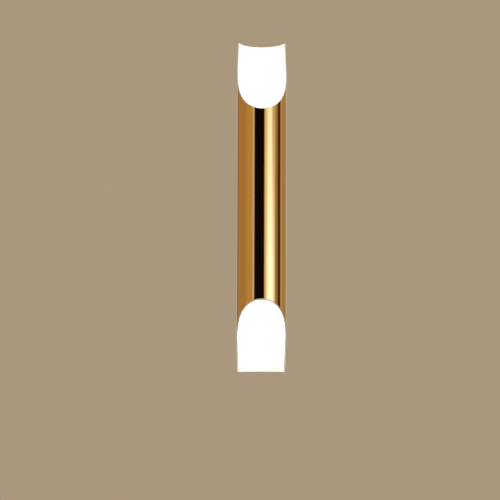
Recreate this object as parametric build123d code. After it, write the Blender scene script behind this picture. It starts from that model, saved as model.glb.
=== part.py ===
"""Tube wall light: one polished tube, scooped open at both ends, with a lamp shining out of each end.

Millimetres. +Z is up, the wall is the plane y = 0, the room is on the -Y side, and the origin is the middle of
the wall bracket. Pieces of an end are modelled in the upper end, and the lower end holds the same pieces turned
half a turn about Y.
"""
import os
from math import pi, sqrt

from build123d import *

# ---------------------------------------------------------------- tube
tube_d = 70.0
tube_wall = 1.0
tube_length = 470.0

# Each end is cut by a large cylinder lying across the tube: a concave scoop, open to the front.
scoop_depth = 102.0  # from the tube's end to the front lip
scoop_heel = 8.7  # how far behind the tube's axis the cut leaves the end
scoop_radius = 162.0

# ---------------------------------------------------------------- white reflector cup in each end
cup_clearance = 0.15  # all round, inside the tube
cup_wall = 0.8
cup_floor = 1.2
cup_skirt = 13.0  # sleeve below the floor, where the cup is screwed to the tube
window_margin = 4.5  # opening in the floor, round the contact tails
window_corner = 2.0

# ---------------------------------------------------------------- pins and lampholder
pin_pitch = 9.0
pin_wire = 0.9
pin_loop = 2.0  # width of a pin's wire loop, on centres
pin_length = 12.0
pin_root = 3.0  # the stretch of wire inside the lamp's base
holder_d = 18.0
holder_height = 20.0
holder_edge = 1.0
holder_below_lip = 3.0  # the holder's top stays hidden under the front lip
holder_hole_pitch = 25.0
holder_flange = 4.0
holder_flange_end = 4.5  # past the screw hole's centre
pocket_play = 0.75  # beside a pin's loop
pocket_spare = 3.0  # below a pin's end
blade = 0.4  # sheet of the spring contacts
blade_gap = 0.3  # clear space between pin and blade
blade_play = 0.65  # clear space behind a blade
blade_width = 3.0
blade_drop = 1.0  # the blades end below the holder's top
tail_width = 2.2
tail_sheet = 0.6
tail_out = 2.5  # from the cup's floor to the crimp
crimp_wall = 0.55
crimp_length = 6.0
crimp_bottom = 1.0

# ---------------------------------------------------------------- plug-in lamp
lamp_seat_gap = 0.3
lamp_d = 17.0
lamp_foot_width = 15.0
lamp_foot_depth = 8.4
lamp_foot_height = 5.0
lamp_foot_corner = 2.0
lamp_neck_d = 13.0
lamp_cone = 10.0
lamp_collar = 1.0
lamp_spigot = 2.0
lamp_fit = 0.1
cover_length = 36.0
cover_wall = 1.2
board_width = 10.0
board_sheet = 1.2
board_head_room = 6.0  # from the board's end to the cover's tip
chip_size = 3.0
chip_height = 0.7
chip_rows = 4

# ---------------------------------------------------------------- fasteners
thread_play = 0.05
hole_play = 0.2  # added to the diameter of a clearance hole
m3_d = 3.0
m3_head_d = 5.5
m3_head = 2.0
m3_length = 10.0
m3_nut_flats = 6.0
m3_nut = 2.4
m4_d = 4.0
m4_head_d = 7.6
m4_head = 2.6
m4_length = 8.0
m5_d = 5.0
m5_head_d = 9.0
m5_head = 3.4
m5_length = 14.0
head_round = 0.9  # edge of the pan heads
drive_width = 1.0
drive_depth = 1.2
lock_washer_d = 8.8
lock_washer = 1.2
washer_split = 1.0
washer_split_turn = 25.0
rivet_nut_d = 6.9
rivet_nut_length = 11.0
rivet_nut_flange_d = 9.6
rivet_nut_flange = 1.0
rivet_nut_collar_d = 8.6
rivet_nut_collar = 2.6
cup_nut_width = 8.0
cup_nut_height = 4.0

# ---------------------------------------------------------------- wiring
lead_d = 1.6
lead_gap = 0.4  # between leads that lie side by side
slant_along = 21.0  # the stretch, along the tube, over which a lead leaves the tube's axis
slant_across = 15.75  # and how far it comes towards the wall there
lamp_lead_arcs = [12.0, 10.0, 3.6, 6.0]  # radii of its turns, from the lamp to the terminal
earth_lead_arcs = [3.0, 6.0, 6.0, 3.0]
bushing_wall = 1.0
bushing_flange_d = 13.2
bushing_flange = 1.2
bushing_out = 0.8  # past the tube's inner face
bushing_fit = 0.1
block_width = 22.0
block_depth = 12.0
block_length = 17.0
block_corner = 1.0
block_above_hole = 4.0  # from the cable hole's edge to the block
pole_pitch = 11.0
barrel_wall = 0.9
barrel_inset = 1.0  # from the block's ends
barrel_fit = 0.1
clamp_pitch = 8.5
clamp_d = 2.9
clamp_length = 5.0
lead_in_barrel = 6.5
bushing_above_block = 11.0
ring_d = 10.0
ring_sheet = 0.8
ring_neck = 1.0
ring_neck_width = 2.5
ring_barrel_wall = 0.75
ring_barrel = 6.0
earth_below_hole = 16.0
earth_washer_d = 8.0
earth_washer = 1.0

# ---------------------------------------------------------------- canopy, bracket and saddles
canopy_width = 56.0
canopy_depth = 17.0
canopy_wall = 1.2
canopy_corner = 8.0
canopy_edge = 2.5
canopy_past_saddle = 5.0
saddle_width = 36.0
saddle_height = 26.0
saddle_crown = 3.0  # thickness at the line where the tube comes nearest to the canopy
saddle_corner = 3.0
saddle_fit = 0.1
saddle_above_bushing = 1.8
bracket_width = 36.0
bracket_wall = 1.5
bracket_bend = 1.0
bracket_corner = 3.0
bracket_play = 0.4  # between the bracket's ears and the canopy
ear_width = 14.0
ear_play = 1.3  # between an ear's tip and the canopy's front
slot_pitch = 100.0
slot_width = 4.6
slot_length = 12.0
cable_hole_d = 20.0

past = 1.0  # how far a cutter runs past the face it opens

# ---------------------------------------------------------------- worked out from the sizes above
tube_r = tube_d / 2
bore_r = tube_r - tube_wall
end_z = tube_length / 2
back_y = -(canopy_depth + saddle_crown)  # the line at the back of the tube
axis_y = back_y - tube_r
cup_r = bore_r - cup_clearance
cup_inner_r = cup_r - cup_wall
holder_top = end_z - scoop_depth - holder_below_lip
floor_z = holder_top - holder_height  # top of the cup's floor
floor_back = floor_z - cup_floor
cup_screw_z = floor_back - cup_skirt / 2
pocket_width = pin_loop + pin_wire + 2 * pocket_play
pocket_across = pin_wire + 2 * (blade_gap + blade + blade_play)
pocket_floor = holder_top - pin_length - pocket_spare
crimp_z = floor_back - tail_out

lamp_z = holder_top + lamp_seat_gap
cone_z = lamp_z + lamp_foot_height
collar_z = cone_z + lamp_cone
shoulder_z = collar_z + lamp_collar
cover_inner_r = lamp_d / 2 - cover_wall
lamp_tip = shoulder_z + cover_length
board_z = shoulder_z + lamp_spigot
board_length = lamp_tip - board_head_room - board_z

lead_r = lead_d / 2
lead_pitch = lead_d + lead_gap
bushing_bore = 4 * lead_pitch + lead_gap
bushing_d = bushing_bore + 2 * bushing_wall
barrel_bore = 2 * lead_pitch + lead_gap / 2
barrel_d = barrel_bore + 2 * barrel_wall
ring_barrel_d = lead_d + 2 * ring_barrel_wall
barrel_length = block_length - 2 * barrel_inset
pole_y = -bracket_wall - block_depth / 2
block_z = cable_hole_d / 2 + block_above_hole + block_length / 2
block_top = block_z + block_length / 2
bushing_z = block_top + bushing_above_block
earth_z = -cable_hole_d / 2 - earth_below_hole

saddle_z = bushing_z + bushing_d / 2 + saddle_above_bushing + saddle_height / 2
canopy_height = 2 * (saddle_z + saddle_height / 2 + canopy_past_saddle)
canopy_inside = -canopy_depth + canopy_wall
ear_z = canopy_height / 2 - canopy_wall - bracket_play
ear_tip = canopy_inside + ear_play
lock_y = ear_tip / 2


# ---------------------------------------------------------------- small helpers
def rod(diameter, length, x, y, z, way="z"):
    """Cylinder whose first face is at x, y, z and which runs along the axis that way names."""
    turns = {"z": (0, 0, 0), "-z": (180, 0, 0), "y": (-90, 0, 0), "-y": (90, 0, 0), "x": (0, 90, 0)}
    from_face = (Align.CENTER, Align.CENTER, Align.MIN)
    return Pos(x, y, z) * Rot(*turns[way]) * Cylinder(diameter / 2, length, align=from_face)


def upright(width, depth, height, x, y, z):
    """Box centred on x and y that stands on z."""
    return Pos(x, y, z) * Box(width, depth, height, align=(Align.CENTER, Align.CENTER, Align.MIN))


def sleeve(outer_r, inner_r, low, high):
    """Round tube on the light's axis."""
    return rod(2 * outer_r, high - low, 0, axis_y, low) - rod(2 * inner_r, high - low, 0, axis_y, low)


def back_drill(diameter, z):
    """Cutter from the tube's axis out through its back."""
    return rod(diameter, tube_r + past, 0, axis_y, z, "y")


def screw(diameter, length, head_d, head, x, y, z, way):
    """Pan-head screw with a slot: x, y, z is the middle of the bearing face, way is where the shank points."""
    shank = Cylinder(diameter / 2 - thread_play, length, align=(Align.CENTER, Align.CENTER, Align.MIN))
    cap = Cylinder(head_d / 2, head, align=(Align.CENTER, Align.CENTER, Align.MAX))
    cap = fillet(cap.faces().sort_by(Axis.Z)[0].edges(), head_round)
    slot = Pos(0, 0, -head) * Box(head_d, drive_width, 2 * drive_depth)
    turns = {"z": (0, 0, 0), "-z": (180, 0, 0), "y": (-90, 0, 0), "-y": (90, 0, 0)}
    return Pos(x, y, z) * Rot(*turns[way]) * (shank + (cap - slot))


def lower(shape):
    """The same piece in the lower end: half a turn about the Y axis."""
    return shape.rotate(Axis.Y, 180)


def save(name, *pieces):
    """Write the solids of one node."""
    solids = [solid for piece in pieces for solid in piece.solids()]
    shape = solids[0] if len(solids) == 1 else Compound(children=solids)
    shape.label = name
    export_step(shape, f"parts/{name}.step")


# ---------------------------------------------------------------- tube and cups
def scoop():
    """The cylinder that cuts the upper end: it passes through the heel at the end and through the front lip."""
    rise = tube_r + scoop_heel
    chord = sqrt(rise**2 + scoop_depth**2)
    offset = sqrt(scoop_radius**2 - (chord / 2) ** 2)
    centre_y = axis_y + (scoop_heel - tube_r) / 2 - offset * scoop_depth / chord
    centre_z = end_z - scoop_depth / 2 + offset * rise / chord
    return Pos(0, centre_y, centre_z) * Rot(0, 90, 0) * Cylinder(scoop_radius, 2 * tube_d)


def tube_body():
    shape = sleeve(tube_r, bore_r, -end_z, end_z) - scoop() - lower(scoop())
    for side in (1, -1):
        shape = shape - back_drill(rivet_nut_d + hole_play, side * saddle_z)
        shape = shape - back_drill(m4_d + hole_play, side * cup_screw_z)
    return shape - back_drill(bushing_d + 2 * bushing_fit, bushing_z)


def reflector_cup():
    """White sleeve cut flush with the scoop, with a floor that carries the lampholder."""
    shape = sleeve(cup_r, cup_inner_r, floor_back - cup_skirt, end_z) - scoop()
    shape = shape + rod(2 * cup_r, cup_floor, 0, axis_y, floor_back)
    shape = shape - back_drill(m4_d + hole_play, cup_screw_z)
    low = floor_back - past
    depth = cup_floor + 2 * past
    for side in (1, -1):
        shape = shape - rod(m3_d + hole_play, depth, 0, axis_y + side * holder_hole_pitch / 2, low)
    window = RectangleRounded(pin_pitch + 2 * window_margin, 2 * window_margin, window_corner)
    return shape - extrude(Pos(0, axis_y, low) * window, depth)


def cup_nut():
    """Square weld nut inside the skirt, its back curved to the sleeve."""
    seat_r = cup_inner_r - thread_play
    start = axis_y + seat_r - cup_nut_height
    align = (Align.CENTER, Align.MIN, Align.CENTER)
    shape = Pos(0, start, cup_screw_z) * Box(cup_nut_width, 2 * cup_nut_height, cup_nut_width, align=align)
    shape = shape & rod(2 * seat_r, 2 * cup_nut_width, 0, axis_y, cup_screw_z - cup_nut_width)
    return shape - back_drill(m4_d, cup_screw_z)


def cup_screw():
    return screw(m4_d, m4_length, m4_head_d, m4_head, 0, back_y, cup_screw_z, "-y")


# ---------------------------------------------------------------- lampholder
def lampholder():
    """Ceramic body with a pocket for each pin and a flange with two screw holes."""
    length = holder_hole_pitch + 2 * holder_flange_end
    shape = extrude(Pos(0, axis_y, floor_z) * SlotOverall(length, holder_d, rotation=90), holder_flange)
    shape = shape + rod(holder_d, holder_height, 0, axis_y, floor_z)
    shape = fillet(shape.faces().sort_by(Axis.Z)[-1].edges(), holder_edge)
    for side in (1, -1):
        x = side * pin_pitch / 2
        depth = holder_top - pocket_floor + past
        shape = shape - upright(pocket_width, pocket_across, depth, x, axis_y, pocket_floor)
        slit = pocket_floor - floor_z + 2 * past
        shape = shape - upright(tail_width + hole_play, tail_sheet + hole_play, slit, x, axis_y, floor_z - past)
        y = axis_y + side * holder_hole_pitch / 2
        shape = shape - rod(m3_d + hole_play, holder_flange + 2 * past, 0, y, floor_z - past)
    return shape


def lampholder_contact(side):
    """Two spring blades, a web on the pocket's floor, and a tail that ends in a crimp."""
    x = side * pin_pitch / 2
    blade_y = pin_wire / 2 + blade_gap + blade / 2
    shape = upright(blade_width, 2 * blade_y + blade, blade, x, axis_y, pocket_floor)
    for way in (1, -1):
        height = holder_top - blade_drop - pocket_floor
        shape = shape + upright(blade_width, blade, height, x, axis_y + way * blade_y, pocket_floor)
    shape = shape + upright(tail_width, tail_sheet, pocket_floor + blade - crimp_z, x, axis_y, crimp_z)
    shape = shape + rod(lead_d + 2 * crimp_wall, crimp_length, x, axis_y, crimp_z, "-z")
    return shape - rod(lead_d + 2 * thread_play, crimp_length, x, axis_y, crimp_z - crimp_bottom, "-z")


def lampholder_screw(side):
    y = axis_y + side * holder_hole_pitch / 2
    return screw(m3_d, m3_length, m3_head_d, m3_head, 0, y, floor_z + holder_flange, "-z")


def lampholder_nut(side):
    y = axis_y + side * holder_hole_pitch / 2
    hexagon = RegularPolygon(m3_nut_flats / 2, 6, major_radius=False)
    shape = extrude(Pos(0, y, floor_back - m3_nut) * hexagon, m3_nut)
    return shape - rod(m3_d, m3_nut + 2 * past, 0, y, floor_back - m3_nut - past)


# ---------------------------------------------------------------- lamp
def spin(face):
    """Turn a profile drawn in X and Z, with X as radius, round the tube's axis."""
    return Pos(0, axis_y, 0) * revolve(face, Axis.Z)


def lamp_pin(side):
    """Wire loop: down, round a half turn and up again."""
    x = side * pin_pitch / 2
    half = pin_loop / 2
    top = lamp_z + pin_root
    low = lamp_z - pin_length + pin_wire / 2 + half
    with BuildLine() as path:
        Line((x - half, axis_y, top), (x - half, axis_y, low))
        ThreePointArc((x - half, axis_y, low), (x, axis_y, low - half), (x + half, axis_y, low))
        Line((x + half, axis_y, low), (x + half, axis_y, top))
    start = Plane(origin=path.line @ 0, z_dir=path.line % 0)
    return sweep(start * Circle(pin_wire / 2), path=path.line)


def lamp_base():
    """Flat foot, cone and collar, with a spigot for the cover and a hole for each end of the pin wires."""
    spigot_r = cover_inner_r - lamp_fit
    outline = [
        (0, cone_z),
        (lamp_neck_d / 2, cone_z),
        (lamp_d / 2, collar_z),
        (lamp_d / 2, shoulder_z),
        (spigot_r, shoulder_z),
        (spigot_r, board_z),
        (0, board_z),
    ]
    shape = spin(Plane.XZ * make_face(Polyline(*outline, close=True)))
    foot = RectangleRounded(lamp_foot_width, lamp_foot_depth, lamp_foot_corner)
    shape = shape + extrude(Pos(0, axis_y, lamp_z) * foot, lamp_foot_height)
    for side in (1, -1):
        for way in (1, -1):
            x = side * pin_pitch / 2 + way * pin_loop / 2
            shape = shape - rod(pin_wire + 2 * thread_play, pin_root, x, axis_y, lamp_z)
    return shape


def capsule(radius, tip):
    """Half section of a round-ended rod from the lamp's shoulder to tip."""
    straight = tip - radius
    outline = Polyline((0, tip), (0, shoulder_z), (radius, shoulder_z), (radius, straight))
    dome = CenterArc((0, straight), radius, 0, 90)
    return Plane.XZ * make_face(outline.edges() + dome.edges())


def lamp_cover():
    return spin(capsule(lamp_d / 2, lamp_tip) - capsule(cover_inner_r, lamp_tip - cover_wall))


def lamp_board():
    return upright(board_width, board_sheet, board_length, 0, axis_y, board_z)


def lamp_chips():
    """Light chips in a row on both faces of the board."""
    chips = []
    for side in (1, -1):
        y = axis_y + side * (board_sheet + chip_height) / 2
        for row in range(chip_rows):
            z = board_z + board_length * (row + 1) / (chip_rows + 1)
            chips.append(Pos(0, y, z) * Box(chip_size, chip_height, chip_size))
    return chips


# ---------------------------------------------------------------- canopy, bracket, saddles
def pan(width, height, depth, corner, edge):
    """Rounded slab from the wall plane forward, its front edge rounded."""
    shape = extrude(Plane.XZ * RectangleRounded(width, height, corner), depth)
    return fillet(shape.faces().sort_by(Axis.Y)[0].edges(), edge)


def canopy():
    """Shallow pan, open to the wall, hidden behind the tube."""
    thick = canopy_wall
    shape = pan(canopy_width, canopy_height, canopy_depth, canopy_corner, canopy_edge)
    hollow = pan(
        canopy_width - 2 * thick,
        canopy_height - 2 * thick,
        canopy_depth - thick,
        canopy_corner - thick,
        canopy_edge - thick,
    )
    shape = shape - hollow
    start = canopy_inside + past
    for side in (1, -1):
        shape = shape - rod(m5_d + 2 * hole_play, thick + 2 * past, 0, start, side * saddle_z, "-y")
    shape = shape - rod(m4_d + 2 * hole_play, canopy_height + 2 * past, 0, lock_y, -canopy_height / 2 - past)
    return shape - rod(bushing_d + 2 * bushing_fit, thick + 2 * past, 0, start, bushing_z, "-y")


def strap(depth, height, bend):
    """Slab from the wall plane forward whose two far edges at the wall are rounded like a bent sheet."""
    shape = Box(bracket_width, depth, height, align=(Align.CENTER, Align.MAX, Align.CENTER))
    return fillet(shape.edges().filter_by(Axis.X).group_by(Axis.Y)[-1], bend)


def wall_bracket():
    """Flat strap with a narrow ear bent forward at each end."""
    outer_bend = bracket_bend + bracket_wall
    shape = strap(-ear_tip, 2 * ear_z, outer_bend)
    shape = shape - Pos(0, -bracket_wall, 0) * strap(-ear_tip, 2 * (ear_z - bracket_wall), bracket_bend)
    side_width = (bracket_width - ear_width) / 2
    notch = 2 * (outer_bend + bracket_bend)
    for side in (1, -1):
        for way in (1, -1):
            x = way * (ear_width + side_width + past) / 2
            cut = Box(side_width + past, 3 * canopy_depth, notch)
            shape = shape - Pos(x, 0, side * ear_z) * cut
    corners = shape.edges().filter_by(Axis.Y).group_by(Axis.X)
    shape = fillet(corners[0] + corners[-1], bracket_corner)
    depth = bracket_wall + 2 * past
    for side in (1, -1):
        slot = Plane.XZ * Pos(0, side * slot_pitch / 2) * SlotOverall(slot_length, slot_width, rotation=90)
        shape = shape - extrude(slot, depth, both=True)
    shape = shape - rod(m4_d, 2 * (ear_z + past), 0, lock_y, -ear_z - past)
    for diameter, z in ((cable_hole_d, 0), (m4_d, earth_z), (m3_d, block_z)):
        shape = shape - rod(diameter, depth, 0, past, z, "-y")
    return shape


def saddle():
    """Spacer between the canopy and the tube, hollowed to the tube."""
    align = (Align.CENTER, Align.MAX, Align.CENTER)
    shape = Pos(0, -canopy_depth, saddle_z) * Box(saddle_width, tube_r, saddle_height, align=align)
    shape = fillet(shape.edges().filter_by(Axis.Y), saddle_corner)
    shape = shape - rod(tube_d + 2 * saddle_fit, 2 * saddle_height, 0, axis_y, saddle_z - saddle_height)
    shape = shape - rod(m5_d + 2 * hole_play, tube_r, 0, -canopy_depth + past, saddle_z, "-y")
    seat = back_y + rivet_nut_flange + saddle_fit
    return shape - rod(rivet_nut_flange_d + 2 * hole_play, tube_r, 0, seat, saddle_z, "-y")


def rivet_nut():
    """Flanged threaded sleeve, set in the tube's back with its collar pressed out inside."""
    collar_y = axis_y + sqrt(bore_r**2 - (rivet_nut_collar_d / 2) ** 2) - thread_play
    shape = rod(rivet_nut_d, rivet_nut_length, 0, back_y, saddle_z, "-y")
    shape = shape + rod(rivet_nut_flange_d, rivet_nut_flange, 0, back_y, saddle_z, "y")
    shape = shape + rod(rivet_nut_collar_d, rivet_nut_collar, 0, collar_y, saddle_z, "-y")
    return shape - rod(m5_d, 2 * rivet_nut_length, 0, back_y + rivet_nut_flange + past, saddle_z, "-y")


def tube_screw(stack):
    """Screw from inside the canopy into the tube; stack is what lies under its lock washer."""
    seat = canopy_inside + stack + lock_washer
    return screw(m5_d, m5_length, m5_head_d, m5_head, 0, seat, saddle_z, "-y")


def tube_washer(stack):
    """Split lock washer."""
    y = canopy_inside + stack
    shape = rod(lock_washer_d, lock_washer, 0, y, saddle_z, "y")
    shape = shape - rod(m5_d + hole_play, lock_washer + 2 * past, 0, y - past, saddle_z, "y")
    split = Rot(0, washer_split_turn, 0) * Box(washer_split, 4 * lock_washer, lock_washer_d / 2)
    return shape - Pos(0, y, saddle_z + lock_washer_d / 2) * split


def lock_screw():
    return screw(m4_d, m4_length, m4_head_d, m4_head, 0, lock_y, canopy_height / 2, "-z")


# ---------------------------------------------------------------- wiring
def wire_bushing():
    length = canopy_wall + saddle_crown + tube_wall + bushing_out
    shape = rod(bushing_d, length, 0, canopy_inside, bushing_z, "-y")
    shape = shape + rod(bushing_flange_d, bushing_flange, 0, canopy_inside, bushing_z, "y")
    start = canopy_inside + bushing_flange + past
    return shape - rod(bushing_bore, bushing_flange + length + 2 * past, 0, start, bushing_z, "-y")


def terminal_block():
    low = block_z - block_length / 2
    front = pole_y - block_depth / 2
    shape = upright(block_width, block_depth, block_length, 0, pole_y, low)
    shape = fillet(shape.edges().filter_by(Axis.Z), block_corner)
    for side in (1, -1):
        x = side * pole_pitch / 2
        shape = shape - rod(barrel_d + 2 * barrel_fit, block_length + 2 * past, x, pole_y, low - past)
        for way in (1, -1):
            z = block_z + way * clamp_pitch / 2
            shape = shape - rod(clamp_d + 2 * hole_play, block_depth, x, pole_y, z, "-y")
    shape = shape - rod(m3_d + 2 * hole_play, block_depth + 2 * past, 0, front - past, block_z, "y")
    return shape - rod(m3_head_d + 2 * hole_play, m3_head + past, 0, front - past, block_z, "y")


def terminal_barrel(side):
    x = side * pole_pitch / 2
    low = block_z - barrel_length / 2
    shape = rod(barrel_d, barrel_length, x, pole_y, low) - rod(barrel_bore, barrel_length, x, pole_y, low)
    for way in (1, -1):
        z = block_z + way * clamp_pitch / 2
        shape = shape - rod(clamp_d + 2 * thread_play, barrel_d, x, pole_y, z, "-y")
    return shape


def terminal_clamp_screw(side, way):
    """Headless slotted screw whose tip stands on the leads."""
    x = side * pole_pitch / 2
    z = block_z + way * clamp_pitch / 2
    tip = pole_y - lead_r - 2 * thread_play
    slot = Pos(x, tip - clamp_length, z) * Box(clamp_d, 2 * drive_depth, drive_width / 2)
    return rod(clamp_d, clamp_length, x, tip, z, "-y") - slot


def terminal_fixing_screw():
    seat = pole_y - block_depth / 2 + m3_head
    return screw(m3_d, -seat, m3_head_d, m3_head, 0, seat, block_z, "y")


def lead(points, radii):
    """Insulated wire on straight runs joined by arcs; prints its volume over section times length."""
    path = FilletPolyline(*points, radius=radii)
    start = Plane(origin=path @ 0, z_dir=path % 0)
    shape = sweep(start * Circle(lead_r), path=path)
    ratio = shape.volume / (pi * lead_r**2 * path.length)
    print(f"lead of {path.length:.0f} mm, arc radii {radii}, volume ratio {ratio:.4f}")
    return shape


def lamp_lead(side, end):
    """Lead from one contact's crimp, along the tube, out through the bushing and into its terminal.

    side picks the pole and end the lamp. The upper leads lie inside the lower ones in the bushing.
    """
    place = 0.5 if end > 0 else 1.5
    x_contact = side * pin_pitch / 2
    x_bushing = side * place * lead_pitch
    x_pole = side * (pole_pitch / 2 + (place - 1) * lead_pitch)
    points = [
        (x_contact, axis_y, end * (crimp_z - crimp_bottom - thread_play)),
        (x_contact, axis_y, bushing_z + end * slant_along),
        (x_bushing, axis_y + slant_across, bushing_z),
        (x_bushing, pole_y, bushing_z),
        (x_pole, pole_y, block_top + 2 * barrel_inset),
        (x_pole, pole_y, block_top - barrel_inset - lead_in_barrel),
    ]
    return lead(points, lamp_lead_arcs)


def ring_terminal(hole):
    """Flat ring that lies on the plane y = 0 with its crimp barrel pointing to +X."""
    start = ring_d / 2 + ring_neck
    shape = rod(ring_d, ring_sheet, 0, 0, 0, "-y")
    neck = (Align.MIN, Align.MAX, Align.CENTER)
    shape = shape + Box(start + ring_neck, ring_sheet, ring_neck_width, align=neck)
    shape = shape + rod(ring_barrel_d, ring_barrel, start, -ring_barrel_d / 2, 0, "x")
    shape = shape - rod(hole, ring_sheet + 2 * past, 0, past, 0, "-y")
    return shape - rod(lead_d + 2 * thread_play, ring_barrel, start + ring_neck, -ring_barrel_d / 2, 0, "x")


def earth_rings():
    """One ring under the earth screw, one under the lower tube screw, facing each other."""
    on_bracket = Pos(0, -bracket_wall, earth_z) * ring_terminal(m4_d + 2 * hole_play)
    on_canopy = ring_terminal(m5_d + 2 * hole_play).mirror(Plane.XZ)
    return on_bracket, Pos(0, canopy_inside, -saddle_z) * on_canopy


def earth_lead():
    """Slack loop beside the earth screw, from one ring terminal to the other."""
    offset = lead_r + ring_barrel_wall
    inside_x = ring_d / 2 + 2 * ring_neck + thread_play
    straight_x = ring_d / 2 + ring_neck + ring_barrel + 2 * lead_d
    loop_x = canopy_width / 2 - canopy_wall - 2 * lead_d
    high_y = -bracket_wall - offset
    low_y = canopy_inside + offset
    step_y = (low_y - high_y) / 4  # the loop's middle run takes half the way across and half the way down
    step_z = (-saddle_z - earth_z) / 4
    points = [
        (inside_x, high_y, earth_z),
        (straight_x, high_y, earth_z),
        (loop_x, high_y + step_y, earth_z + step_z),
        (loop_x, low_y - step_y, -saddle_z - step_z),
        (straight_x, low_y, -saddle_z),
        (inside_x, low_y, -saddle_z),
    ]
    return lead(points, earth_lead_arcs)


def earth_disc():
    y = -bracket_wall - ring_sheet
    shape = rod(earth_washer_d, earth_washer, 0, y, earth_z, "-y")
    return shape - rod(m4_d + 2 * hole_play, earth_washer + 2 * past, 0, y + past, earth_z, "-y")


def earth_screw():
    seat = -bracket_wall - ring_sheet - earth_washer
    return screw(m4_d, -seat, m4_head_d, m4_head, 0, seat, earth_z, "y")


# ---------------------------------------------------------------- write the nodes
os.makedirs("parts", exist_ok=True)

save("tube_body", tube_body())
save("cup_screws", cup_screw(), Pos(0, 0, -2 * cup_screw_z) * cup_screw())
save("cup_nuts", cup_nut(), Pos(0, 0, -2 * cup_screw_z) * cup_nut())

for end_name, place in (("upper", lambda shape: shape), ("lower", lower)):
    save(f"{end_name}_reflector_cup", place(reflector_cup()))
    save(f"{end_name}_lampholder", place(lampholder()))
    save(f"{end_name}_lampholder_contacts", *[place(lampholder_contact(side)) for side in (-1, 1)])
    save(f"{end_name}_lampholder_screws", *[place(lampholder_screw(side)) for side in (-1, 1)])
    save(f"{end_name}_lampholder_nuts", *[place(lampholder_nut(side)) for side in (-1, 1)])
    save(f"{end_name}_bulb_base", place(lamp_base()))
    save(f"{end_name}_bulb_cover", place(lamp_cover()))
    save(f"{end_name}_bulb_pins", *[place(lamp_pin(side)) for side in (-1, 1)])
    save(f"{end_name}_bulb_led_board", place(lamp_board()))
    save(f"{end_name}_bulb_led_chips", *[place(item) for item in lamp_chips()])

save("canopy", canopy())
save("canopy_lock_screws", lock_screw(), lower(lock_screw()))
save("wall_bracket", wall_bracket())
save("upper_saddle", saddle())
save("lower_saddle", lower(saddle()))
save("tube_rivet_nuts", rivet_nut(), lower(rivet_nut()))
save("tube_screws", tube_screw(0), lower(tube_screw(ring_sheet)))
save("tube_lock_washers", tube_washer(0), lower(tube_washer(ring_sheet)))

save("wire_bushing", wire_bushing())
save("terminal_block", terminal_block())
save("terminal_barrels", terminal_barrel(-1), terminal_barrel(1))
save("terminal_clamp_screws", *[terminal_clamp_screw(side, way) for side in (-1, 1) for way in (-1, 1)])
save("terminal_fixing_screw", terminal_fixing_screw())
save("upper_live_lead", lamp_lead(-1, 1))
save("upper_neutral_lead", lamp_lead(1, 1))
save("lower_live_lead", lamp_lead(-1, -1))
save("lower_neutral_lead", lamp_lead(1, -1))
save("earth_screw", earth_screw())
save("earth_washer", earth_disc())
save("earth_ring_terminals", *earth_rings())
save("earth_lead", earth_lead())
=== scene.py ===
# %% [markdown]
# # A tube wall light
# The real object is one polished, gold-coloured tube that hangs upright. Both ends are cut by a long
# concave scoop, so that a white cup shows in each, with a plug-in lamp in it: one shines up and one
# shines down. Behind the tube, a shallow canopy hides a bracket and the wiring. The construction model
# already holds every piece at its real size and place, so this script gives the pieces their finish, a
# studio and a camera.

# %% Load the construction model
import math

import bpy
import bmesh
from mathutils import Matrix, Vector


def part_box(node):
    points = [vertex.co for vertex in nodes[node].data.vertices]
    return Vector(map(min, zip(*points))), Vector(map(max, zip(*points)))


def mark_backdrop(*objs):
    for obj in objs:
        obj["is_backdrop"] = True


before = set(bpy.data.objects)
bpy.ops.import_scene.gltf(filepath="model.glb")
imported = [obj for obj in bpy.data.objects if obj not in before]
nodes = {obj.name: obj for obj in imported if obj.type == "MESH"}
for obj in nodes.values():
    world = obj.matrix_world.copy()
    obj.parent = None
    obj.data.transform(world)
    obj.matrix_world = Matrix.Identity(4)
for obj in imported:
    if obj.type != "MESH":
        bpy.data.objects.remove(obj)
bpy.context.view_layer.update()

# %% [markdown]
# The one size that the later cells need is read from the tube itself: the middle of its box gives the
# line of its axis, so that nothing here has to be kept in step by hand.

# %% Axis of the tube
tube_low, tube_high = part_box("tube_body")
axis_y = (tube_low.y + tube_high.y) / 2
print(f"the tube ends at {tube_high.z:.4f} m and its axis is at y = {axis_y:.4f} m")

# %% [markdown]
# The photograph was taken from almost straight in front, from a little below and with a long lens. A
# camera is easiest to trust when it is given as a person would say it: how far away it stands, how far
# below the middle, how far to the side, and where it points.

# %% Camera
camera_distance = 1.8687  # from the tube's axis, level
camera_height = -0.2024
camera_side = math.radians(1.306)  # to the left of straight in front
camera_turn = math.radians(0.806)  # to the right of +Y
camera_pitch = math.radians(4.262)  # upwards
camera_roll = math.radians(0.166)
lens_mm = 95.4
sensor_mm = 36.0


def aim_camera():
    """Make the camera and point it; returns its object."""
    camera = bpy.data.objects.new("camera", bpy.data.cameras.new("camera"))
    bpy.context.scene.collection.objects.link(camera)
    camera.data.lens = lens_mm
    camera.data.sensor_width = sensor_mm
    away = Vector((-math.sin(camera_side), -math.cos(camera_side), 0)) * camera_distance
    forward = Vector((math.sin(camera_turn), math.cos(camera_turn), math.tan(camera_pitch))).normalized()
    right = forward.cross(Vector((0, 0, 1))).normalized()
    up = right.cross(forward)
    turned_right = right * math.cos(camera_roll) + up * math.sin(camera_roll)
    turned_up = up * math.cos(camera_roll) - right * math.sin(camera_roll)
    matrix = Matrix((turned_right, turned_up, -forward)).transposed().to_4x4()
    matrix.translation = Vector((0, axis_y, camera_height)) + away
    camera.matrix_world = matrix
    return camera


bpy.context.scene.camera = aim_camera()
bpy.context.scene.view_settings.view_transform = "Standard"
print("camera at", tuple(round(v, 3) for v in bpy.context.scene.camera.location))

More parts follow.
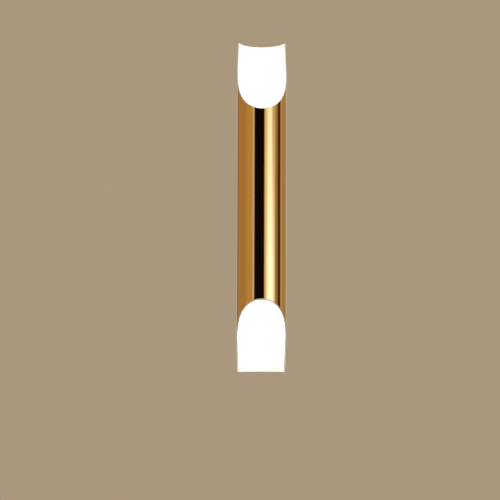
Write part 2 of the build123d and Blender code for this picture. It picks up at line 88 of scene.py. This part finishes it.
# %% [markdown]
# Materials and the world are node trees. A few small helpers keep the later cells short: one adds a
# node and sets what it is given, one feeds a socket, and the others wrap the nodes that are used again
# and again. Wherever a helper takes a value, it can be a plain number or colour, or the socket of
# another node.


# %% Helpers for node trees
def add_node(tree, kind, sockets=None, **settings):
    """Add a node, set its properties and its input sockets, and return it."""
    node = tree.nodes.new(kind)
    for name, value in settings.items():
        setattr(node, name, value)
    for name, value in (sockets or {}).items():
        feed(tree, value, node.inputs[name])
    return node


def feed(tree, value, socket):
    """Join a socket to another one, or set it to a plain number or colour."""
    if isinstance(value, bpy.types.NodeSocket):
        tree.links.new(value, socket)
    elif socket.type == "RGBA" and len(value) == 3:
        socket.default_value = (*value, 1.0)
    else:
        socket.default_value = value


def ramp(tree, source, stops):
    """Colour ramp fed by source; stops are (position, colour) pairs. Returns its colour socket."""
    node = add_node(tree, "ShaderNodeValToRGB", {"Fac": source})
    elements = node.color_ramp.elements
    while len(elements) < len(stops):
        elements.new(0.5)
    for element, (position, colour) in zip(elements, stops):
        element.position = position
        element.color = (*colour, 1.0)
    return node.outputs["Color"]


def calculate(tree, operation, *values):
    """Math node on sockets or plain numbers; returns its value socket."""
    node = add_node(tree, "ShaderNodeMath", operation=operation)
    for socket, value in zip(node.inputs, values):
        feed(tree, value, socket)
    return node.outputs["Value"]


def remap(tree, value, start, end, low=0.0, high=1.0, smooth=True):
    """Value from low to high as the source goes from start to end, and flat beyond them."""
    sockets = {"Value": value, "From Min": start, "From Max": end, "To Min": low, "To Max": high}
    kind = "SMOOTHSTEP" if smooth else "LINEAR"
    return add_node(tree, "ShaderNodeMapRange", sockets, interpolation_type=kind).outputs["Result"]


def mix_colour(tree, factor, first, second, mode="MIX"):
    """Mix node for colours; returns its colour socket."""
    node = add_node(tree, "ShaderNodeMix", data_type="RGBA", blend_type=mode)
    for place, value in ((0, factor), (6, first), (7, second)):
        feed(tree, value, node.inputs[place])
    return node.outputs[2]


print("node helpers are ready")

# %% [markdown]
# Polished metal has hardly any look of its own: it shows the room. A photographer would stand a tall
# soft light to the right of the camera and a black panel to the left of it, with a brown panel and a
# thin lit gap further round, and leave the rest of the studio plain. Here that studio is a panorama on
# the world: the direction of each ray gives an angle round the tube, and a colour ramp over that angle
# holds every light and panel. The soft light is wider low down than high up, so there are two ramps,
# which change into each other with the height of the ray.

# %% Studio colours
backdrop = (0.40, 0.31, 0.21)
dim_backdrop = (0.385, 0.25, 0.108)  # where less light reaches it
bright_backdrop = (0.485, 0.335, 0.145)
black = (0.006, 0.004, 0.002)
softbox = (1.7, 1.6, 2.15)
softbox_edge = (0.69, 0.61, 0.50)
brown = (0.055, 0.014, 0.0)
lit_gap = (0.47, 0.365, 0.27)
strip_light = (0.75, 0.68, 0.58)
ceiling = (0.80, 0.70, 0.56)
floor_bounce = (0.62, 0.50, 0.36)
print("studio colours are ready")

# %% [markdown]
# Angles are in degrees to the right of the camera, as seen from the light: 0 is straight in front and
# 180 is behind. The far edge of the black panel is lit, which draws a pale line down the tube. A strip
# light stands right behind the wall light, at both ends of the list. The front view shows it only at
# the tube's very edges, but from behind it gives the metal its shape.

# %% What stands at each angle of the studio
behind_left = [(-174, strip_light), (-164, (0.30, 0.20, 0.11)), (-146, (0.27, 0.18, 0.10))]
left_side = [(-134, dim_backdrop), (-92, dim_backdrop), (-66, bright_backdrop), (-47.5, bright_backdrop)]
lit_panel_edge = [(-42.5, (0.62, 0.56, 0.46)), (-38.6, (0.62, 0.58, 0.52))]
black_panel = [(-34.8, black), (9.7, black), (13.3, softbox_edge), (16, softbox_edge)]
wide_softbox = [(20, (0.84, 0.79, 0.68)), (25, (1.05, 1.18, 1.3)), (31, softbox), (47, softbox)]
wide_softbox += [(54.5, (1.1, 1.3, 1.6)), (62.5, (0.84, 0.96, 0.92)), (65, (0.46, 0.40, 0.28))]
narrow_softbox = [(20, (0.84, 0.78, 0.62)), (25, (0.95, 0.95, 0.85)), (36, (1.15, 1.37, 1.6))]
narrow_softbox += [(44, (1.1, 1.3, 1.5)), (51, (0.74, 0.80, 0.78)), (55.5, (0.59, 0.57, 0.43))]
narrow_softbox += [(62.5, (0.55, 0.51, 0.38))]
brown_panel = [(72.5, (0.31, 0.24, 0.17)), (81, (0.22, 0.15, 0.11)), (86, brown), (95.5, brown)]
right_side = [(101.5, lit_gap), (107, lit_gap), (116, (0.38, 0.29, 0.13)), (135, (0.36, 0.25, 0.11))]
behind_right = [(160, (0.42, 0.32, 0.15)), (172, strip_light)]
left_of_softbox = behind_left + left_side + lit_panel_edge + black_panel
right_of_softbox = brown_panel + right_side + behind_right
low_studio = left_of_softbox + wide_softbox + right_of_softbox
high_studio = left_of_softbox + narrow_softbox + right_of_softbox
print(f"{len(low_studio)} stops low down, {len(high_studio)} stops high up")

# %% [markdown]
# The two ramps change into each other between 3.5 and 10 degrees above the horizon, which is about what
# the upright tube shows a low camera. The panels end 45 to 72 degrees up, where a pale ceiling takes
# over, and 35 to 60 degrees down, where the floor's light takes most of their place. The camera sees
# none of the equipment, only the backdrop.

# %% World
low_to_high = (3.5, 10)  # degrees above the horizon
to_ceiling = (45, 72)
to_floor = (-35, -60)
floor_share = 0.65


def between_heights(tree, height, degrees, **given):
    """Mask that rises from the first to the second angle above the horizon."""
    start, end = (math.sin(math.radians(angle)) for angle in degrees)
    return remap(tree, height, start, end, **given)


def build_world():
    world = bpy.data.worlds.new("studio")
    world.use_nodes = True
    tree = world.node_tree
    tree.nodes.clear()
    direction = add_node(tree, "ShaderNodeTexCoord").outputs["Generated"]
    split = add_node(tree, "ShaderNodeSeparateXYZ", {"Vector": direction})
    toward_camera = calculate(tree, "MULTIPLY", split.outputs["Y"], -1.0)
    angle = calculate(tree, "ARCTAN2", split.outputs["X"], toward_camera)
    turn = calculate(tree, "MULTIPLY_ADD", angle, 1 / (2 * math.pi), 0.5)
    low, high = (
        ramp(tree, turn, [((degrees + 180) / 360, colour) for degrees, colour in stops])
        for stops in (low_studio, high_studio)
    )
    height = split.outputs["Z"]
    room = mix_colour(tree, between_heights(tree, height, low_to_high, smooth=False), low, high)
    room = mix_colour(tree, between_heights(tree, height, to_ceiling), room, ceiling)
    room = mix_colour(tree, between_heights(tree, height, to_floor, high=floor_share), room, floor_bounce)
    camera_ray = add_node(tree, "ShaderNodeLightPath").outputs["Is Camera Ray"]
    seen = mix_colour(tree, camera_ray, room, backdrop)
    background = add_node(tree, "ShaderNodeBackground", {"Color": seen})
    add_node(tree, "ShaderNodeOutputWorld", {"Surface": background.outputs["Background"]})
    return world


bpy.context.scene.world = build_world()
print("world has", len(bpy.context.scene.world.node_tree.nodes), "nodes")

# %% [markdown]
# The panorama alone leaves matt pieces a little dark. Two large soft lamps bring them up to a plain
# level, at which a colour looks about as it is written: one above the camera and one high behind. The
# metal doesn't show them: a lamp can be hidden from reflections, and these are, so that all reflections
# come from the panorama.


# %% Soft lamps
lamp_size = 1.6


def soft_lamp(name, place, watts, colour):
    """Square area lamp that points at the middle of the wall light."""
    lamp = bpy.data.objects.new(name, bpy.data.lights.new(name, "AREA"))
    bpy.context.scene.collection.objects.link(lamp)
    lamp.data.size = lamp_size
    lamp.data.energy = watts
    lamp.data.color = colour
    lamp.visible_glossy = False
    target = Vector((0, axis_y, 0))
    lamp.location = place
    lamp.rotation_euler = (target - Vector(place)).to_track_quat("-Z", "Y").to_euler()
    return lamp


soft_lamp("lamp_over_camera", place=(-0.8, -1.5, 1.9), watts=34.0, colour=(1.0, 0.96, 0.9))
soft_lamp("lamp_behind", place=(0.7, 1.4, 1.7), watts=24.0, colour=(1.0, 0.97, 0.93))
print("two soft lamps hang over the studio")

# %% [markdown]
# Materials need a few helpers of their own. Each starts with a Principled shader, whose inputs are then
# driven by their names, and most of them ask for noise, for sums with vectors, and for the place of a
# point on its piece.


# %% Helpers for materials
def drive(tree, shader, **values):
    """Feed the shader's inputs, which are named as its sockets are, with _ for a space."""
    for title, value in values.items():
        feed(tree, value, shader.inputs[title.replace("_", " ")])


def new_finish(name, **plain_values):
    """Material with a Principled shader; returns the material, its tree and its shader."""
    material = bpy.data.materials.new(name)
    material.use_nodes = True
    shader = material.node_tree.nodes["Principled BSDF"]
    drive(material.node_tree, shader, **plain_values)
    return material, material.node_tree, shader


def vector(tree, operation, *values, output="Vector"):
    """Vector Math node on sockets or plain vectors; returns one of its output sockets."""
    node = add_node(tree, "ShaderNodeVectorMath", operation=operation)
    for socket, value in zip(node.inputs, values):
        feed(tree, value, socket)
    return node.outputs[output]


def noise(tree, place, detail, roughness=0.5, scale=1.0):
    """Noise texture on the given coordinates; returns its value socket."""
    sockets = {"Vector": place, "Scale": scale, "Detail": detail, "Roughness": roughness}
    return add_node(tree, "ShaderNodeTexNoise", sockets).outputs["Fac"]


def own_place(tree):
    """Coordinates in metres that stay on the piece when it moves."""
    return add_node(tree, "ShaderNodeTexCoord").outputs["Object"]


print("material helpers are ready")

# %% [markdown]
# The floor is a plain pale disc well below the light. It catches a soft shadow and the glow of the
# lower lamp, and it fades out towards its edge, so that no horizon line crosses the backdrop.

# %% Floor
floor_z = -1.5  # a wall light hangs at about the height of a face
floor_radius = 2.0
floor_tone = (0.42, 0.345, 0.255)
fade_start, fade_end = 0.35, 0.97  # shares of the radius


def floor_finish():
    material, tree, shader = new_finish("pale_floor", Roughness=0.9)
    place = own_place(tree)
    mottle = noise(tree, place, 4.0, scale=9.0)
    darker = tuple(0.96 * channel for channel in floor_tone)
    drive(tree, shader, Base_Color=mix_colour(tree, mottle, floor_tone, darker))
    distance = vector(tree, "LENGTH", place, output="Value")
    fade = remap(tree, distance, fade_start * floor_radius, fade_end * floor_radius)
    clear = add_node(tree, "ShaderNodeBsdfTransparent").outputs["BSDF"]
    both = add_node(tree, "ShaderNodeMixShader", {0: fade, 1: shader.outputs["BSDF"], 2: clear})
    feed(tree, both.outputs["Shader"], tree.nodes["Material Output"].inputs["Surface"])
    return material


def make_floor():
    mesh = bpy.data.meshes.new("floor")
    shape = bmesh.new()
    bmesh.ops.create_circle(shape, cap_ends=True, segments=96, radius=floor_radius)
    shape.to_mesh(mesh)
    shape.free()
    floor = bpy.data.objects.new("floor", mesh)
    bpy.context.scene.collection.objects.link(floor)
    floor.location = (0, axis_y, floor_z)
    mesh.materials.append(floor_finish())
    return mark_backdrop(floor)


make_floor()
print(f"floor {floor_radius} m in radius at z = {floor_z} m")

# %% [markdown]
# Some effects turn up in many finishes, so each is a node group, built once and placed in every
# material with its own values. All of them work in metres on the piece's own coordinates, so that the
# grain on a small screw is as fine as the grain on the tube, and moves with a piece that is pulled out.


# %% Start a node group
def start_group(name, inputs):
    """Group that gives a mask, from (name, default) pairs; returns it and its two sets of sockets."""
    group = bpy.data.node_groups.new(name, "ShaderNodeTree")
    for title, default in inputs:
        kind = "NodeSocketVector" if isinstance(default, tuple) else "NodeSocketFloat"
        group.interface.new_socket(name=title, in_out="INPUT", socket_type=kind).default_value = default
    group.interface.new_socket(name="Mask", in_out="OUTPUT", socket_type="NodeSocketFloat")
    return group, add_node(group, "NodeGroupInput").outputs, add_node(group, "NodeGroupOutput").inputs


def object_place(tree, size, stretch=None):
    """Object coordinates divided by a size in metres, and by a stretch for each axis where one is given."""
    scaled = {0: own_place(tree), "Scale": calculate(tree, "DIVIDE", 1.0, size)}
    place = add_node(tree, "ShaderNodeVectorMath", scaled, operation="SCALE").outputs["Vector"]
    return place if stretch is None else vector(tree, "DIVIDE", place, stretch)


print("groups can be built")

# %% [markdown]
# Grain is the workhorse: soft noise of a stated size, which can be stretched along an axis. Fine and
# round it is the orange peel of a powder coat, large and round it is haze on polish, and long and thin
# it is the hairlines that a cloth or a rolling mill leaves.


# %% Group: grain
def build_grain():
    inputs = [("Size", 0.001), ("Stretch", (1.0, 1.0, 1.0)), ("Contrast", 1.0)]
    group, given, result = start_group("grain", inputs)
    place = object_place(group, given["Size"], given["Stretch"])
    centred = calculate(group, "SUBTRACT", noise(group, place, 3.0, 0.55), 0.5)
    spread = calculate(group, "MULTIPLY_ADD", centred, given["Contrast"], 0.5)
    feed(group, remap(group, spread, 0.0, 1.0, smooth=False), result["Mask"])
    return group


grain_group = build_grain()
print("grain has", len(grain_group.nodes), "nodes")

# %% [markdown]
# Speckle is for fired ceramic and for plating: small separate spots of a stated size, of which only a
# share is there. A cell texture gives every spot its own random value, and the share decides which of
# them stay.


# %% Group: speckle
def build_speckle():
    group, given, result = start_group("speckle", [("Size", 0.001), ("Share", 0.2)])
    place = object_place(group, given["Size"])
    cells = add_node(group, "ShaderNodeTexVoronoi", {"Vector": place, "Scale": 1.0})
    chance = add_node(group, "ShaderNodeSeparateColor", {"Color": cells.outputs["Color"]}).outputs["Red"]
    kept = calculate(group, "LESS_THAN", chance, given["Share"])
    dot = remap(group, cells.outputs["Distance"], 0.45, 0.2)
    feed(group, calculate(group, "MULTIPLY", kept, dot), result["Mask"])
    return group


speckle_group = build_speckle()
print("speckle has", len(speckle_group.nodes), "nodes")

# %% [markdown]
# Handling wears a plated or painted part first along its edges. The Bevel node gives the normal that a
# rounded edge would have, and where that differs from the true normal there is an edge. Fine noise
# breaks the line up.


# %% Group: edge wear
break_size = 0.0006  # metres between the gaps in a worn edge


def surface_normal(tree):
    """Normal of the surface, before any bump."""
    return add_node(tree, "ShaderNodeNewGeometry").outputs["Normal"]


def build_edge_wear():
    group, given, result = start_group("edge_wear", [("Radius", 0.0004), ("Amount", 0.5)])
    rounded = add_node(group, "ShaderNodeBevel", {"Radius": given["Radius"]}, samples=4)
    match = vector(group, "DOT_PRODUCT", rounded.outputs["Normal"], surface_normal(group), output="Value")
    edge = remap(group, match, 0.99, 0.75)
    breaks = noise(group, object_place(group, break_size), 2.0)
    worn = calculate(group, "MULTIPLY", edge, remap(group, breaks, 0.3, 0.6))
    feed(group, calculate(group, "MULTIPLY", worn, given["Amount"]), result["Mask"])
    return group


edge_wear_group = build_edge_wear()
print("edge wear has", len(edge_wear_group.nodes), "nodes")

# %% [markdown]
# Dust settles only on faces that look up, more in some places than in others. The upward part of the
# normal is the mask for the first, and soft noise for the second.


# %% Group: settled dust
def build_dust():
    group, given, result = start_group("settled_dust", [("Amount", 0.3), ("Patch", 0.006)])
    upward = add_node(group, "ShaderNodeSeparateXYZ", {"Vector": surface_normal(group)}).outputs["Z"]
    patches = noise(group, object_place(group, given["Patch"]), 5.0)
    lying = calculate(group, "MULTIPLY", remap(group, upward, 0.3, 0.95), remap(group, patches, 0.35, 0.7))
    feed(group, calculate(group, "MULTIPLY", lying, given["Amount"]), result["Mask"])
    return group


dust_group = build_dust()
dust_colour = (0.42, 0.39, 0.35)
print("settled dust has", len(dust_group.nodes), "nodes")

# %% [markdown]
# Every finish makes the same few moves: it takes a mask from a group, lets a value follow the mask,
# and adds a bump. Helpers for those keep each material down to what is its own.


# %% Helpers for finishes
def effect(tree, group, **values):
    """Place a node group with its own values; returns its mask socket."""
    node = add_node(tree, "ShaderNodeGroup", node_tree=group)
    for title, value in values.items():
        feed(tree, value, node.inputs[title])
    return node.outputs["Mask"]


def bump(tree, shader, height, depth, strength=1.0):
    """Relief of a stated depth in metres on the shader's normal."""
    node = add_node(tree, "ShaderNodeBump", {"Height": height, "Distance": depth, "Strength": strength})
    drive(tree, shader, Normal=node.outputs["Normal"])


def add_dust(tree, shader, colour, amount):
    """Lay dust over the colour, and make both the shader's base colour."""
    mask = effect(tree, dust_group, Amount=amount)
    drive(tree, shader, Base_Color=mix_colour(tree, mask, colour, dust_colour))


print("finish helpers are ready")

# %% [markdown]
# ## Polished gold
# The tube, the canopy and its small parts are brass, polished, gold plated and lacquered. The colour of
# such a metal is the colour of its reflections, so it goes on a metallic shader. Polish is never
# perfect: there is a faint haze in patches, and cloth leaves hairlines that run round the tube and can
# be felt only by the light. The lacquer is a thin coat over it, which gives the brightest reflections
# their paler middle.


# %% Finish: polished gold
def polished_gold(name):
    """Gold finish; returns the material, its tree, its shader and its colour and roughness sockets."""
    material, tree, shader = new_finish(name, Metallic=1.0, Coat_Weight=0.6, Coat_Roughness=0.03)
    haze = effect(tree, grain_group, Size=0.03, Contrast=1.6)
    hairlines = effect(tree, grain_group, Size=0.0002, Stretch=(60.0, 60.0, 1.0), Contrast=2.2)
    worn = effect(tree, edge_wear_group, Radius=0.0003, Amount=0.6)
    colour = mix_colour(tree, haze, (0.95, 0.62, 0.255), (0.93, 0.60, 0.235))
    colour = mix_colour(tree, worn, colour, (0.97, 0.72, 0.38))
    hazy = remap(tree, haze, 0.2, 0.8, 0.03, 0.06)
    rough = calculate(tree, "ADD", hazy, remap(tree, hairlines, 0.4, 1, 0, 0.03))
    drive(tree, shader, Base_Color=colour, Roughness=rough)
    bump(tree, shader, hairlines, 0.000002, 0.3)
    return material, tree, shader, colour, rough


gold = polished_gold("gold_polish")[0]
print("polished gold has", len(gold.node_tree.nodes), "nodes")

# %% [markdown]
# The tube has one thing more. Where it is scooped out, its cut edge is painted white together with the
# cup inside it, so that no dark line parts the lit cup from the room. The wall of a tube always faces
# away from its axis, so a face near an end of the tube that looks another way is the cut edge.

# %% Finish: tube with painted cut edges
paint_white = (0.93, 0.92, 0.89)
paint_rough = 0.5
cup_zone = 0.12  # every cut edge lies further than this from the tube's middle


def gold_tube():
    material, tree, shader, colour, rough = polished_gold("gold_tube")
    place = own_place(tree)
    arm = vector(tree, "SUBTRACT", place, (0.0, axis_y, 0.0))
    outward = vector(tree, "NORMALIZE", vector(tree, "MULTIPLY", arm, (1.0, 1.0, 0.0)))
    match = vector(tree, "DOT_PRODUCT", surface_normal(tree), outward, output="Value")
    cut = remap(tree, calculate(tree, "ABSOLUTE", match), 0.93, 0.85)
    height = add_node(tree, "ShaderNodeSeparateXYZ", {"Vector": place}).outputs["Z"]
    near_end = calculate(tree, "GREATER_THAN", calculate(tree, "ABSOLUTE", height), cup_zone)
    painted = calculate(tree, "MULTIPLY", cut, near_end)
    drive(tree, shader, Base_Color=mix_colour(tree, painted, colour, paint_white))
    drive(tree, shader, Metallic=remap(tree, painted, 0.0, 1.0, 1.0, 0.0))
    drive(tree, shader, Roughness=calculate(tree, "MULTIPLY_ADD", painted, paint_rough, rough))
    return material


tube_gold = gold_tube()
print("the tube's gold has", len(tube_gold.node_tree.nodes), "nodes")

# %% [markdown]
# ## White cups
# Each cup is spun aluminium under a matt white powder coat. Powder melts and flows as it bakes, which
# leaves a gentle orange peel, a millimetre or so from dimple to dimple. Noise of that size gives both
# the bump and the small changes in roughness, and a little dust lies where the cup opens upwards.


# %% Finish: white powder coat
def white_powder_coat():
    material, tree, shader = new_finish("white_powder_coat", Specular_IOR_Level=0.4)
    peel = effect(tree, grain_group, Size=0.0012, Contrast=1.5)
    patches = effect(tree, grain_group, Size=0.012, Contrast=1.2)
    colour = mix_colour(tree, patches, (0.93, 0.92, 0.89), (0.90, 0.885, 0.855))
    add_dust(tree, shader, colour, 0.06)
    drive(tree, shader, Roughness=remap(tree, peel, 0.2, 0.8, 0.42, 0.6))
    bump(tree, shader, peel, 0.00004)
    return material


coat = white_powder_coat()
print("white powder coat has", len(coat.node_tree.nodes), "nodes")

# %% [markdown]
# ## Lamp covers
# The cover is a frosted tube that glows evenly and so strongly that it lights the whole cup. If the
# camera saw that strength, the cover would be a flat white patch, so a camera ray gets a small share of
# it. The share falls towards the outline, as the light of a real frosted tube does, and clouds in the
# frosting vary it a little.


# %% Finish: frosted cover
lamp_strength = 42.0
lamp_colour = (1.0, 0.93, 0.80)
seen_share = (0.034, 0.019)  # at the middle of the cover and at its outline


def frosted_cover():
    plain_values = {"Emission_Strength": lamp_strength, "Subsurface_Weight": 0.1}
    material, tree, shader = new_finish("frosted_cover", **plain_values)
    frosting = effect(tree, grain_group, Size=0.0005, Contrast=1.6)
    clouds = effect(tree, grain_group, Size=0.007, Contrast=1.3)
    drive(tree, shader, Base_Color=mix_colour(tree, clouds, (0.95, 0.94, 0.91), (0.91, 0.90, 0.87)))
    drive(tree, shader, Roughness=remap(tree, frosting, 0.2, 0.8, 0.45, 0.65))
    facing = add_node(tree, "ShaderNodeLayerWeight", {"Blend": 0.5}).outputs["Facing"]
    share = remap(tree, facing, 0.1, 0.9, *seen_share)
    share = calculate(tree, "MULTIPLY", share, remap(tree, clouds, 0.0, 1.0, 0.92, 1.08))
    camera_ray = add_node(tree, "ShaderNodeLightPath").outputs["Is Camera Ray"]
    strength = remap(tree, camera_ray, 0.0, 1.0, 1.0, share, smooth=False)
    grey = {"Red": strength, "Green": strength, "Blue": strength}
    dimmed = add_node(tree, "ShaderNodeCombineColor", grey).outputs["Color"]
    glow = mix_colour(tree, 1.0, dimmed, lamp_colour, "MULTIPLY")
    drive(tree, shader, Emission_Color=glow)
    bump(tree, shader, frosting, 0.000015)
    return material


frost = frosted_cover()
print("frosted cover has", len(frost.node_tree.nodes), "nodes")

# %% [markdown]
# ## Fired ceramics
# The lampholder is unglazed steatite: cream, dry and slightly porous, with fine dark specks from the
# firing. The base of the lamp is a whiter ceramic under a thin glaze, which is smoother and shines a
# little.


# %% Finish: lampholder steatite
def steatite():
    material, tree, shader = new_finish("steatite", Specular_IOR_Level=0.35)
    pores = effect(tree, grain_group, Size=0.0004, Contrast=1.8)
    specks = effect(tree, speckle_group, Size=0.0009, Share=0.08)
    worn = effect(tree, edge_wear_group, Radius=0.0004, Amount=0.5)
    colour = mix_colour(tree, pores, (0.88, 0.86, 0.81), (0.83, 0.81, 0.755))
    colour = mix_colour(tree, calculate(tree, "MULTIPLY", specks, 0.35), colour, (0.45, 0.38, 0.30))
    add_dust(tree, shader, mix_colour(tree, worn, colour, (0.93, 0.92, 0.89)), 0.12)
    drive(tree, shader, Roughness=remap(tree, pores, 0.2, 0.8, 0.6, 0.82))
    bump(tree, shader, pores, 0.00003)
    return material


holder_ceramic = steatite()
print("steatite has", len(holder_ceramic.node_tree.nodes), "nodes")


# %% Finish: glazed lamp base
def lamp_glaze():
    material, tree, shader = new_finish("lamp_glaze", Coat_Weight=0.35, Coat_Roughness=0.12)
    ripples = effect(tree, grain_group, Size=0.0025, Contrast=1.4)
    specks = effect(tree, speckle_group, Size=0.0011, Share=0.03)
    colour = mix_colour(tree, ripples, (0.92, 0.91, 0.885), (0.885, 0.875, 0.845))
    colour = mix_colour(tree, calculate(tree, "MULTIPLY", specks, 0.25), colour, (0.55, 0.50, 0.42))
    drive(tree, shader, Base_Color=colour)
    drive(tree, shader, Roughness=remap(tree, ripples, 0.2, 0.8, 0.25, 0.4))
    bump(tree, shader, ripples, 0.00003)
    return material


ceramics = {"lampholder_ceramic": holder_ceramic, "bulb_ceramic": lamp_glaze()}
print(len(ceramics), "ceramics are ready")

# %% [markdown]
# ## Plain metals
# The bracket, screws, nuts and washers are zinc plated steel, the pins are bare steel wire, the
# terminals are brass and the ring terminals are tinned copper. They are all metal with a satin surface,
# so one function makes them: two tones that drift into each other, hairlines along the way the metal
# was drawn or rolled, spots from the plating bath, and a third tone where the edges are rubbed bright.


# %% Finish: satin metals
drawing_stretch = (1.0, 1.0, 40.0)
plating_spots = 0.15  # share of the spots that are there


def satin_metal(name, tone, drift, edge, rough):
    """Satin metal; rough is its lowest and highest roughness."""
    material, tree, shader = new_finish(name, Metallic=1.0)
    patches = effect(tree, grain_group, Size=0.004, Contrast=2.0)
    lines = effect(tree, grain_group, Size=0.00012, Stretch=drawing_stretch, Contrast=2.0)
    bath = effect(tree, speckle_group, Size=0.0008, Share=plating_spots)
    worn = effect(tree, edge_wear_group, Radius=0.00035, Amount=0.8)
    colour = mix_colour(tree, patches, tone, drift)
    drive(tree, shader, Base_Color=mix_colour(tree, worn, colour, edge))
    uneven = calculate(tree, "MULTIPLY_ADD", lines, 0.6, calculate(tree, "MULTIPLY", bath, 0.4))
    drive(tree, shader, Roughness=remap(tree, uneven, 0.1, 0.9, *rough))
    bump(tree, shader, lines, 0.000004, 0.6)
    return material


metals = {
    "zinc_plate": satin_metal(
        "zinc_plating", (0.54, 0.57, 0.61), (0.68, 0.66, 0.57), (0.82, 0.83, 0.84), (0.17, 0.34)
    ),
    "steel_wire": satin_metal(
        "drawn_steel", (0.66, 0.66, 0.67), (0.60, 0.59, 0.58), (0.8, 0.8, 0.8), (0.16, 0.3)
    ),
    "terminal_brass": satin_metal(
        "terminal_brass_finish", (0.80, 0.61, 0.30), (0.62, 0.43, 0.18), (0.90, 0.76, 0.48), (0.24, 0.42)
    ),
    "tinned_copper": satin_metal(
        "tinned_copper_finish", (0.72, 0.71, 0.69), (0.64, 0.63, 0.60), (0.80, 0.48, 0.30), (0.26, 0.44)
    ),
}
print(len(metals), "satin metals are ready")

# %% [markdown]
# ## Board and chips
# Inside each lamp a white board carries small light chips. The board is coated like any circuit board,
# and a chip is a drop of yellow silicone that glows a little by itself.


# %% Finish: board and chips
def board_white():
    material, tree, shader = new_finish("white_board", Roughness=0.35)
    weave = effect(tree, grain_group, Size=0.0004, Stretch=(1.0, 1.0, 3.0), Contrast=1.4)
    drive(tree, shader, Base_Color=mix_colour(tree, weave, (0.87, 0.88, 0.88), (0.81, 0.82, 0.82)))
    bump(tree, shader, weave, 0.00001)
    return material


def chip_phosphor():
    material, tree, shader = new_finish("chip_phosphor_finish", Roughness=0.3, Emission_Strength=2.0)
    powder = effect(tree, grain_group, Size=0.0002, Contrast=1.8)
    drive(tree, shader, Base_Color=mix_colour(tree, powder, (0.92, 0.76, 0.24), (0.86, 0.68, 0.18)))
    drive(tree, shader, Emission_Color=mix_colour(tree, powder, (1.0, 0.86, 0.58), (1.0, 0.80, 0.48)))
    return material


light_engine = {"board_white": board_white(), "chip_phosphor": chip_phosphor()}
print("board and chips are ready")

# %% [markdown]
# ## Plastics
# The terminal block and the bushing are natural nylon, which is milky and slightly glossy. The leads
# are soft PVC in the colours that an electrician expects: brown for live, blue for neutral, and green
# and yellow for earth. The earth lead's stripes run along it, so the direction of the surface normal
# can tell one from the other.


# %% Finish: natural nylon
def natural_nylon():
    material, tree, shader = new_finish("natural_nylon", Subsurface_Weight=0.15, Subsurface_Scale=0.002)
    mould = effect(tree, grain_group, Size=0.0005, Contrast=1.4)
    clouds = effect(tree, grain_group, Size=0.006, Contrast=1.4)
    colour = mix_colour(tree, clouds, (0.89, 0.88, 0.84), (0.83, 0.815, 0.76))
    add_dust(tree, shader, colour, 0.2)
    drive(tree, shader, Roughness=remap(tree, mould, 0.2, 0.8, 0.32, 0.5))
    bump(tree, shader, mould, 0.00001)
    return material


nylon = natural_nylon()
print("natural nylon has", len(nylon.node_tree.nodes), "nodes")


# %% Finish: lead insulation
def insulation(name, tone, second_tone=None):
    """Soft PVC; a second tone makes a stripe along the lead."""
    material, tree, shader = new_finish(name, Specular_IOR_Level=0.5)
    skin = effect(tree, grain_group, Size=0.0007, Contrast=1.5)
    handled = effect(tree, grain_group, Size=0.005, Contrast=1.6)
    if second_tone:
        side = vector(tree, "DOT_PRODUCT", surface_normal(tree), (0.6, 0.45, 0.6), output="Value")
        colour = mix_colour(tree, remap(tree, side, -0.05, 0.0), tone, second_tone)
    else:
        colour = mix_colour(tree, handled, tone, tuple(1.35 * channel for channel in tone))
    add_dust(tree, shader, colour, 0.25)
    drive(tree, shader, Roughness=remap(tree, skin, 0.2, 0.8, 0.3, 0.48))
    bump(tree, shader, skin, 0.000015)
    return material


plastics = {
    "nylon": nylon,
    "live_insulation": insulation("brown_insulation", (0.16, 0.062, 0.026)),
    "neutral_insulation": insulation("blue_insulation", (0.022, 0.12, 0.42)),
    "earth_insulation": insulation("green_yellow_insulation", (0.05, 0.32, 0.06), (0.80, 0.66, 0.06)),
}
print(len(plastics), "plastics are ready")

# %% [markdown]
# Every piece of the construction model comes with the name of its material slot. That name picks the
# finish, so a piece can't be missed, and the pieces themselves stay exactly where the construction put
# them.

# %% Give every piece its finish
finishes = {"polished_gold": gold, "white_reflector": coat, "bulb_frost": frost}
finishes |= ceramics | metals | light_engine | plastics
for name, node in nodes.items():
    slot_name = node.data.materials[0].name
    node.data.materials.clear()
    node.data.materials.append(tube_gold if name == "tube_body" else finishes[slot_name])
print(f"{len(finishes)} finishes on {len(nodes)} pieces")
